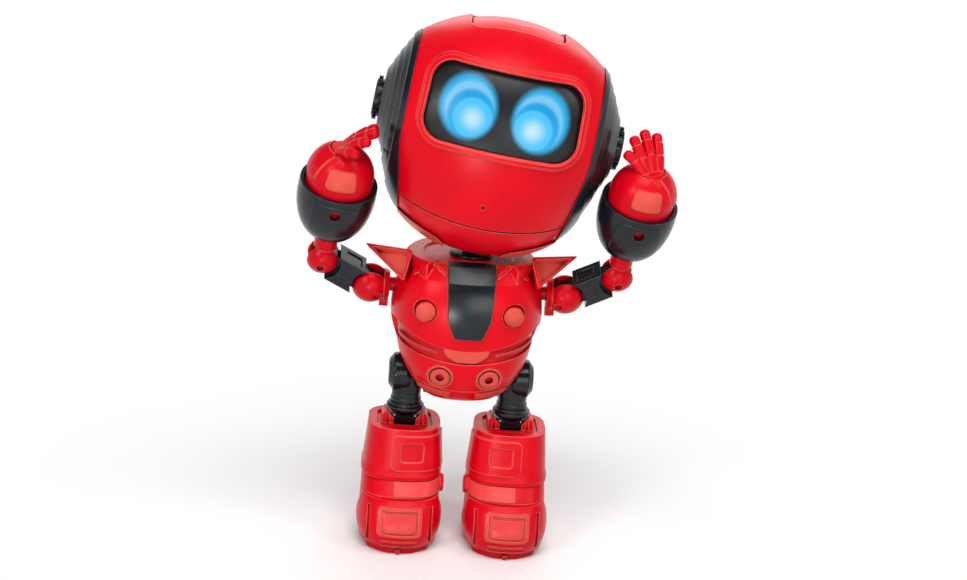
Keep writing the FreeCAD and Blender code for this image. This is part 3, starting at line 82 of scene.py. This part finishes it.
class Tree:
    """Builds a material's node tree from short calls."""

    def __init__(self, name):
        self.material = bpy.data.materials.new(name)
        self.material.use_nodes = True
        self.tree = self.material.node_tree
        self.tree.nodes.clear()
        self.output = self.tree.nodes.new("ShaderNodeOutputMaterial")

    def node(self, kind, **settings):
        made = self.tree.nodes.new("ShaderNode" + kind)
        for key, value in settings.items():
            setattr(made, key, value)
        return made

    def link(self, source, target):
        self.tree.links.new(source, target)

    def put(self, socket, value):
        if isinstance(value, bpy.types.NodeSocket):
            self.link(value, socket)
        else:
            socket.default_value = value

    def coords(self):
        return self.node("TexCoord").outputs["Object"]

    def math(self, operation, a, b=0.0, clamp=False):
        made = self.node("Math", operation=operation, use_clamp=clamp)
        self.put(made.inputs[0], a)
        self.put(made.inputs[1], b)
        return made.outputs[0]

    def noise(self, scale, detail=3.0, rough=0.55, where=None):
        made = self.node("TexNoise")
        self.link(where or self.coords(), made.inputs["Vector"])
        made.inputs["Scale"].default_value = scale
        made.inputs["Detail"].default_value = detail
        made.inputs["Roughness"].default_value = rough
        return made.outputs["Fac"]

    def spread(self, value, low, high, to_low=0.0, to_high=1.0, smooth=True):
        made = self.node("MapRange")
        made.interpolation_type = "SMOOTHSTEP" if smooth else "LINEAR"
        self.put(made.inputs["Value"], value)
        for name, number in (("From Min", low), ("From Max", high),
                             ("To Min", to_low), ("To Max", to_high)):
            self.put(made.inputs[name], number)
        return made.outputs["Result"]

    def mix(self, factor, a, b):
        made = self.node("Mix", data_type="RGBA")
        self.put(made.inputs["Factor"], factor)
        self.put(made.inputs[6], a)
        self.put(made.inputs[7], b)
        return made.outputs[2]

    def edge(self, radius):
        """1 on outer edges and 0 on open faces, from how far a bevel turns the normal; and that normal."""
        bevel = self.node("Bevel", samples=BEVEL_SAMPLES)
        bevel.inputs["Radius"].default_value = radius
        normal = self.node("NewGeometry").outputs["Normal"]
        dot = self.node("VectorMath", operation="DOT_PRODUCT")
        self.link(bevel.outputs[0], dot.inputs[0])
        self.link(normal, dot.inputs[1])
        return self.spread(dot.outputs["Value"], EDGE_FLAT, EDGE_TURNED), bevel.outputs[0]

    def open_air(self, reach):
        """1 where the surface is open and towards 0 down in seams and corners."""
        made = self.node("AmbientOcclusion", samples=OCCLUSION_SAMPLES)
        made.inputs["Distance"].default_value = reach
        return made.outputs["AO"]

    def bump(self, height, distance, strength=1.0, normal=None):
        made = self.node("Bump")
        made.inputs["Distance"].default_value = distance
        made.inputs["Strength"].default_value = strength
        self.link(height, made.inputs["Height"])
        if normal is not None:
            self.link(normal, made.inputs["Normal"])
        return made.outputs["Normal"]

    def shader(self, **values):
        made = self.node("BsdfPrincipled")
        for name, value in values.items():
            self.put(made.inputs[name.replace("_", " ")], value)
        self.link(made.outputs[0], self.output.inputs["Surface"])
        return made


# ---------------------------------------------------------------- materials
# Noise scales are in waves per metre, bump heights in metres.
PLASTIC_IOR = 1.5
PLASTIC_BUMP = 0.00003
# Grey of the painted highlight along outer black edges.
GREY_EDGE_HIGHLIGHT = (0.085, 0.10, 0.115, 1.0)
RED_SHEEN = (1.0, 0.55, 0.55, 1.0)      # the red pearl tints its own highlights


def red_plastic(name, colour, rim_highlight, rim_highlight_amount=0.8, roughness=(0.27, 0.36), grain=0.4):
    """Pearl red moulding: painted highlight paler along outer edges, painted shade dark in seams and holes,
    swirl marks.
    """
    t = Tree(name)
    edge, rounded = t.edge(0.4 * MM)
    open_air = t.open_air(2.4 * MM)
    clouds = t.noise(60.0, 2.0)
    fine = t.noise(900.0, 4.0)
    base = t.mix(t.spread(clouds, 0.35, 0.7), colour, shade(colour, 0.9))
    # Painted shade: down in seams, holes and corners the colour darkens to a tenth of itself.
    seam_shade = t.mix(t.spread(open_air, 0.08, 0.5), shade(colour, 0.1), base)
    # Painted highlight: outer edges out in the open take the paler rim colour, in patches.
    lit = t.math("MULTIPLY", edge, t.spread(open_air, 0.3, 0.65, 0.0, rim_highlight_amount))
    patchy = t.math("MULTIPLY", lit, t.spread(t.noise(140.0), 0.3, 0.6, 0.75, 1.0))
    marks = t.noise(420.0, 5.0, 0.7)
    rough = t.spread(marks, 0.3, 0.75, roughness[0], roughness[1])
    height = t.math("ADD", t.math("MULTIPLY", fine, 0.35), t.noise(4200.0, 2.0))
    t.shader(Base_Color=t.mix(patchy, seam_shade, rim_highlight), Roughness=rough, IOR=PLASTIC_IOR,
             Specular_IOR_Level=0.28, Specular_Tint=RED_SHEEN,
             Normal=t.bump(height, PLASTIC_BUMP * grain, 1.0, rounded))
    return t.material


def black_plastic(name, colour, roughness=(0.22, 0.36), grain=0.5, rim_highlight_amount=0.5):
    """Black moulding with a faint cool cast, satin to gloss, with handling smears and a painted highlight
    greying the edges.
    """
    t = Tree(name)
    edge, rounded = t.edge(0.25 * MM)
    open_air = t.open_air(1.8 * MM)
    clouds = t.noise(80.0, 3.0)
    base = t.mix(t.spread(clouds, 0.35, 0.7), colour, shade(colour, 1.5))
    # Painted highlight: outer edges out in the open turn grey.
    edge_highlight = t.math("MULTIPLY", edge, t.spread(open_air, 0.5, 0.9, 0.0, rim_highlight_amount))
    marks = t.noise(300.0, 5.0, 0.7)
    rough = t.spread(marks, 0.3, 0.72, roughness[0], roughness[1])
    height = t.math("ADD", t.math("MULTIPLY", t.noise(1100.0, 4.0), 0.5), t.noise(5200.0, 2.0))
    t.shader(Base_Color=t.mix(edge_highlight, base, GREY_EDGE_HIGHLIGHT), Roughness=rough, IOR=PLASTIC_IOR,
             Specular_IOR_Level=0.34,
             Normal=t.bump(height, PLASTIC_BUMP * grain, 1.0, rounded))
    return t.material


def metal(name, colour, roughness=(0.25, 0.4)):
    """Drawn steel: streaky brushing along Z and small dull spots."""
    t = Tree(name)
    stretch = t.node("Mapping")
    t.link(t.coords(), stretch.inputs["Vector"])
    stretch.inputs["Scale"].default_value = (1.0, 1.0, 0.08)
    streak = t.noise(3000.0, 3.0, 0.6, stretch.outputs[0])
    spots = t.noise(500.0, 4.0)
    base = t.mix(t.spread(spots, 0.4, 0.7), colour, shade(colour, 0.75))
    t.shader(Base_Color=base, Metallic=1.0, Roughness=t.spread(streak, 0.3, 0.7, *roughness),
             Normal=t.bump(streak, 0.000012))
    return t.material


def board(name):
    """Green laminate with darker track lanes and pale solder flecks."""
    t = Tree(name)
    lanes = t.node("TexVoronoi", distance="CHEBYCHEV")
    t.link(t.coords(), lanes.inputs["Vector"])
    lanes.inputs["Scale"].default_value = 520.0
    tracks = t.spread(lanes.outputs["Distance"], 0.25, 0.42)
    weave = t.noise(2600.0, 3.0)
    green = t.mix(tracks, (0.01, 0.12, 0.045, 1.0), (0.02, 0.2, 0.07, 1.0))
    flecks = t.spread(t.noise(1500.0, 2.0), 0.72, 0.76)
    t.shader(Base_Color=t.mix(flecks, green, (0.55, 0.55, 0.5, 1.0)),
             Roughness=t.spread(weave, 0.3, 0.7, 0.3, 0.5), Normal=t.bump(tracks, 0.00004))
    return t.material


def milky(name):
    """Frosted diffuser plastic, lit from behind."""
    t = Tree(name)
    frost = t.noise(2200.0, 4.0)
    glow = t.mix(t.spread(frost, 0.3, 0.7), (0.05, 0.45, 0.9, 1.0), (0.2, 0.65, 1.0, 1.0))
    t.shader(Base_Color=(0.75, 0.85, 0.95, 1.0), Roughness=t.spread(frost, 0.3, 0.7, 0.45, 0.6),
             Emission_Color=glow, Emission_Strength=0.8, Normal=t.bump(frost, 0.00003))
    return t.material


def eye_frames():
    """Centre, sideways and upward directions of each eye, read from the two diffusers in the frame."""
    points = [v.co.copy() for v in nodes["eye_diffusers"].data.vertices]
    middle = sum(points, Vector()) / len(points)
    centres = []
    for side in (-1, 1):
        own = [p for p in points if (p.x - middle.x) * side > 0]
        low = Vector([min(p[i] for p in own) for i in range(3)])
        high = Vector([max(p[i] for p in own) for i in range(3)])
        centres.append((low + high) / 2)
    across = (centres[1] - centres[0]).normalized()
    up = Vector((0.0, 1.0, 0.0)).cross(across) * -1
    return [(centre, across, up.normalized()) for centre in centres]


# Ovals of an eye: towards the nose and up from the eye's centre, then half width and half height.
EYE = (0.0, 0.0, 6.2 * MM, 6.8 * MM)
BOW = (0.35 * MM, -0.4 * MM, 5.4 * MM, 5.9 * MM)
BITE = (0.9 * MM, -1.7 * MM, 5.0 * MM, 5.3 * MM)
IRIS = (1.3 * MM, -2.1 * MM, 4.3 * MM, 4.3 * MM)
NO_LIGHT = (0.0, 0.0, 0.0, 1.0)
DEEP_BLUE, CLEAR_BLUE = (0.0, 0.33, 0.76, 1.0), (0.0, 0.42, 0.80, 1.0)
BOW_BLUE = (0.26, 0.62, 0.88, 1.0)
IRIS_WHITE, IRIS_BLUE = (0.52, 0.80, 0.90, 1.0), (0.06, 0.55, 0.94, 1.0)


def lens(name):
    """Smoked glossy visor with two eyes of soft blue light showing through it."""
    t = Tree(name)
    where = t.coords()

    def along(direction, origin):
        dot = t.node("VectorMath", operation="DOT_PRODUCT")
        t.link(where, dot.inputs[0])
        dot.inputs[1].default_value = direction
        return t.math("SUBTRACT", dot.outputs["Value"], direction.dot(origin))

    def ring(sideways, upward, inward, oval):
        """Distance from the oval's centre, 1 on the oval itself."""
        towards_nose, rise, wide, tall = oval
        x = t.math("DIVIDE", t.math("SUBTRACT", sideways, towards_nose * inward), wide)
        y = t.math("DIVIDE", t.math("SUBTRACT", upward, rise), tall)
        return t.math("SQRT", t.math("ADD", t.math("MULTIPLY", x, x), t.math("MULTIPLY", y, y)))

    light = NO_LIGHT
    for inward, (centre, across, up) in zip((1, -1), eye_frames()):
        u, v = along(across, centre), along(up, centre)
        eye, bow, bite, iris = (ring(u, v, inward, oval) for oval in (EYE, BOW, BITE, IRIS))
        blue = t.mix(t.spread(eye, 0.2, 1.0), DEEP_BLUE, CLEAR_BLUE)
        crescent = t.math("MULTIPLY", t.spread(bow, 1.07, 0.88), t.spread(bite, 0.94, 1.13))
        outer = t.mix(t.math("MULTIPLY", crescent, 0.75), blue, BOW_BLUE)
        pupil = t.mix(t.spread(iris, 0.05, 0.8), IRIS_WHITE, IRIS_BLUE)
        inner = t.mix(t.spread(iris, 1.07, 0.9), outer, pupil)
        light = t.mix(t.spread(eye, 1.10, 0.84), light, inner)
    swirl = t.noise(260.0, 4.0, 0.65, where)
    haze = t.noise(45.0, 2.0, 0.5, where)
    base = t.mix(t.spread(haze, 0.3, 0.7), (0.004, 0.005, 0.006, 1.0), (0.010, 0.011, 0.012, 1.0))
    t.shader(Base_Color=base, Roughness=t.spread(swirl, 0.35, 0.7, 0.32, 0.38), IOR=1.48,
             Specular_IOR_Level=0.34,
             Emission_Color=light, Emission_Strength=1.0,
             Normal=t.bump(t.noise(3500.0, 2.0, 0.5, where), 0.000008))
    return t.material


RED = (0.78, 0.0, 0.010, 1.0)
# Pale pink of the painted highlight along outer red edges.
RIM_HIGHLIGHT = (0.86, 0.20, 0.15, 1.0)
# Paler reds painted on the raised pads as a highlight, the second for the boots.
PAD_HIGHLIGHT_RED = (0.74, 0.085, 0.06, 1.0)
BOOT_PAD_HIGHLIGHT_RED = (0.76, 0.055, 0.055, 1.0)


def build_materials():
    return {
        "red_shell": red_plastic("red_shell", RED, RIM_HIGHLIGHT),
        "arm_red": red_plastic("arm_red", (0.70, 0.0, 0.010, 1.0), RIM_HIGHLIGHT, 0.7),
        "boot_red": red_plastic("boot_red", (0.70, 0.0, 0.010, 1.0), RIM_HIGHLIGHT, 0.85),
        "boot_dark": red_plastic("boot_dark", (0.67, 0.0, 0.010, 1.0), RIM_HIGHLIGHT, 0.85),
        "red_trim": red_plastic("red_trim", (0.62, 0.006, 0.012, 1.0), RIM_HIGHLIGHT, 0.9),
        "sole_red": red_plastic("sole_red", (0.55, 0.004, 0.012, 1.0), RIM_HIGHLIGHT, 0.6, (0.42, 0.55), 1.2),
        "black_shell": black_plastic("black_shell", (0.006, 0.009, 0.012, 1.0), (0.2, 0.27), 0.2, 0.8),
        "arm_black": black_plastic("arm_black", (0.005, 0.007, 0.010, 1.0), (0.18, 0.25), 0.3),
        "leg_black": black_plastic("leg_black", (0.004, 0.005, 0.007, 1.0), (0.10, 0.22)),
        "smoked_lens": lens("smoked_lens"),
        "eye_light": milky("eye_light"),
        "circuit_board": board("circuit_board"),
        "steel_pin": metal("steel_pin", (0.56, 0.57, 0.58, 1.0)),
        "electret_can": metal("electret_can", (0.62, 0.61, 0.58, 1.0), (0.3, 0.45)),
        "speaker_can": metal("speaker_can", (0.30, 0.30, 0.31, 1.0), (0.35, 0.5)),
    }


# Raised pads given a paler red as a painted highlight: smallest and largest area in square millimetres, and
# how far the pad's mean direction turns to the front.
PADS = {
    "chin_shell": (130.0, 158.0, 0.15),
    "hand_shell": (24.0, 33.0, 0.8),
    "wing": (45.0, 70.0, 0.2),
    "waist_band": (20.0, 27.0, 0.9),
    "pelvis_pan": (19.0, 24.0, 0.5),
    "toe_cap": (13.0, 35.0, 0.8),
    "boot_foot": (45.0, 62.0, 0.45),
    "chest_buttons": (14.0, 20.0, 0.8),
    "belly_rings": (4.4, 14.0, 0.85),
}
CREASE = math.cos(math.radians(22.0))
NO_AREA, SLIVER = 1e-18, 1e-10          # square metres
WELD_DIGITS = 4                         # of a millimetre


def smooth_patches(mesh):
    """Groups of triangles that meet without a crease: polygons, area and mean direction of each."""
    mesh.calc_loop_triangles()
    count = len(mesh.loop_triangles)
    corners = numpy.empty(count * 3, dtype=numpy.int64)
    owners = numpy.empty(count, dtype=numpy.int64)
    points = numpy.empty(len(mesh.vertices) * 3)
    mesh.loop_triangles.foreach_get("vertices", corners)
    mesh.loop_triangles.foreach_get("polygon_index", owners)
    mesh.vertices.foreach_get("co", points)
    corners, points = corners.reshape(-1, 3), points.reshape(-1, 3)
    welded = numpy.unique(numpy.round(points / MM, WELD_DIGITS), axis=0, return_inverse=True)[1].reshape(-1)
    a, b, c = (points[corners[:, i]] for i in range(3))
    normal = numpy.cross(b - a, c - a)
    area = numpy.linalg.norm(normal, axis=1) / 2
    normal /= numpy.maximum(2 * area, NO_AREA)[:, None]
    leader = list(range(count))

    def find(i):
        while leader[i] != i:
            leader[i] = leader[leader[i]]
            i = leader[i]
        return i

    met = {}
    for face, (u, v, w) in enumerate(welded[corners].tolist()):
        for pair in ((u, v), (v, w), (w, u)):
            pair = (min(pair), max(pair))
            other = met.setdefault(pair, face)
            level = normal[other] @ normal[face] > CREASE
            if other != face and (level or min(area[other], area[face]) < SLIVER):
                leader[find(other)] = find(face)
    groups = {}
    for face in range(count):
        groups.setdefault(find(face), []).append(face)
    for members in groups.values():
        total = area[members].sum()
        mean = (normal[members] * area[members][:, None]).sum(axis=0) / max(total, NO_AREA)
        yield set(owners[members].tolist()), total / MM ** 2, mean


def pad_polygons(name, mesh):
    """Polygons of the raised pads on a piece, or none if its kind has no pads."""
    kind = name.replace("left_", "").replace("right_", "")
    if kind not in PADS:
        return set()
    smallest, largest, frontal = PADS[kind]
    chosen = set()
    for polygons, area, mean in smooth_patches(mesh):
        if smallest < area < largest and -mean[1] > frontal:
            chosen |= polygons
    return chosen


def dress():
    """Gives every piece its slot's material, and its raised pads a paler one, a painted highlight."""
    finishes = build_materials()
    # Paler reds for the raised pads: a painted highlight.
    pale = red_plastic("pale_red", PAD_HIGHLIGHT_RED, RIM_HIGHLIGHT, 0.5, (0.3, 0.4))
    boot_pad_highlight = red_plastic("soft_red", BOOT_PAD_HIGHLIGHT_RED, RIM_HIGHLIGHT, 0.9, (0.24, 0.32))
    for entry in frame["record"]["subparts"]:
        piece, slot = nodes[entry["node"]], entry["material_slot"]
        mesh = piece.data
        mesh.materials.clear()
        mesh.materials.append(finishes[slot])
        pads = pad_polygons(entry["node"], mesh)
        if pads:
            on_boot = "toe" in entry["node"] or "boot" in entry["node"]
            mesh.materials.append(boot_pad_highlight if on_boot else pale)
        for index in pads:
            mesh.polygons[index].material_index = 1


# ---------------------------------------------------------------- studio
WHITE = (1.0, 1.0, 1.0, 1.0)
FLOOR_SIZE = 3.0
FLOOR_PALE, FLOOR_PALER = (0.93, 0.93, 0.93, 1.0), (0.97, 0.97, 0.97, 1.0)
FLOOR_BOUNCE = (0.45, 0.45, 0.45, 1.0)  # what it throws back, so that undersides stay in shade
FADE_FROM, FADE_TO = 0.03, 0.12         # where the floor turns to plain white, from the origin
HEART, FACE = (0.0, 0.0, 0.06), (0.0, 0.0, 0.095)
LAMPS = (                               # name, place, target, width, height, watts
    ("key", (0.02, -0.28, 0.62), HEART, 0.34, 0.28, 1.75),
    ("low_front", (-0.06, -0.22, 0.012), FACE, 0.035, 0.035, 0.12),
    ("fill_left", (-0.36, -0.43, 0.34), HEART, 0.14, 0.22, 1.05),
    ("fill_right", (0.46, -0.22, 0.52), HEART, 0.14, 0.26, 0.7),
    ("front", (0.16, -0.62, 0.12), HEART, 0.3, 0.3, 0.8),
    ("rear", (0.1, 0.5, 0.4), HEART, 0.5, 0.35, 1.1),
)
# Domes: strength low down, strength high up, and the heights between which it changes.
DIFFUSE_DOME = (0.18, 0.42, -0.1, 0.8)
GLOSSY_DOME = (1.0, 0.1, 0.1, 0.45)


def floor_material():
    """Pale floor that keeps the contact shadow and fades to plain white away from the robot."""
    t = Tree("floor")
    path = t.node("LightPath")
    pale = t.mix(t.noise(35.0, 4.0), FLOOR_PALE, FLOOR_PALER)
    colour = t.mix(path.outputs["Is Diffuse Ray"], pale, FLOOR_BOUNCE)
    shader = t.shader(Base_Color=colour, Roughness=0.6, Specular_IOR_Level=0.1)
    away = t.node("VectorMath", operation="LENGTH")
    t.link(t.coords(), away.inputs[0])
    fade = t.spread(away.outputs["Value"], FADE_FROM, FADE_TO)
    seen = t.math("MAXIMUM", path.outputs["Is Camera Ray"], path.outputs["Is Glossy Ray"])
    white = t.node("Emission")
    white.inputs["Color"].default_value = WHITE
    white.inputs["Strength"].default_value = 1.0
    join = t.node("MixShader")
    t.link(t.math("MULTIPLY", fade, seen), join.inputs[0])
    t.link(shader.outputs[0], join.inputs[1])
    t.link(white.outputs[0], join.inputs[2])
    t.link(join.outputs[0], t.output.inputs["Surface"])
    return t.material


def floor():
    mesh = bpy.data.meshes.new("floor")
    form = bmesh.new()
    half = FLOOR_SIZE / 2
    corners = [(x * half, y * half, cad_box[0].z) for x, y in ((-1, -1), (1, -1), (1, 1), (-1, 1))]
    form.faces.new([form.verts.new(corner) for corner in corners])
    form.to_mesh(mesh)
    form.free()
    mesh.materials.append(floor_material())
    piece = bpy.data.objects.new("floor", mesh)
    bpy.context.scene.collection.objects.link(piece)


def softbox(name, place, target, wide, tall, power):
    data = bpy.data.lights.new(name, "AREA")
    data.shape = "RECTANGLE"
    data.size, data.size_y = wide, tall
    data.energy = power
    lamp = bpy.data.objects.new(name, data)
    bpy.context.scene.collection.objects.link(lamp)
    lamp.location = place
    lamp.visible_camera = False
    lamp.rotation_mode = "QUATERNION"
    lamp.rotation_quaternion = (Vector(target) - Vector(place)).to_track_quat("-Z", "Y")


def dome_light(tree, low, high, from_height, to_height):
    """Brightness of the dome: one level up to a height and another above it."""
    where = tree.nodes.new("ShaderNodeTexCoord")
    split = tree.nodes.new("ShaderNodeSeparateXYZ")
    tree.links.new(where.outputs["Generated"], split.inputs[0])
    height = tree.nodes.new("ShaderNodeMapRange")
    height.interpolation_type = "SMOOTHSTEP"
    tree.links.new(split.outputs["Z"], height.inputs["Value"])
    for socket, number in (("From Min", from_height), ("From Max", to_height),
                           ("To Min", low), ("To Max", high)):
        height.inputs[socket].default_value = number
    return height.outputs["Result"]


def background(tree, strength):
    made = tree.nodes.new("ShaderNodeBackground")
    made.inputs["Color"].default_value = WHITE
    if isinstance(strength, bpy.types.NodeSocket):
        tree.links.new(strength, made.inputs["Strength"])
    else:
        made.inputs["Strength"].default_value = strength
    return made.outputs[0]


def make_world():
    """A soft dome for plain surfaces; mirrors, clear pieces and the camera see a white room."""
    world = bpy.data.worlds.new("studio")
    bpy.context.scene.world = world
    world.use_nodes = True
    tree = world.node_tree
    tree.nodes.clear()
    output = tree.nodes.new("ShaderNodeOutputWorld")
    path = tree.nodes.new("ShaderNodeLightPath")
    layers = background(tree, dome_light(tree, *DIFFUSE_DOME))
    glossy = dome_light(tree, *GLOSSY_DOME)
    for ray, strength in (("Is Glossy Ray", glossy), ("Is Transmission Ray", 1.0), ("Is Camera Ray", 1.0)):
        join = tree.nodes.new("ShaderNodeMixShader")
        tree.links.new(path.outputs[ray], join.inputs[0])
        tree.links.new(layers, join.inputs[1])
        tree.links.new(background(tree, strength), join.inputs[2])
        layers = join.outputs[0]
    tree.links.new(layers, output.inputs["Surface"])


def studio():
    floor()
    for lamp in LAMPS:
        softbox(*lamp)
    make_world()


dress()
make_camera()
studio()
bpy.context.scene.view_settings.view_transform = "Standard"
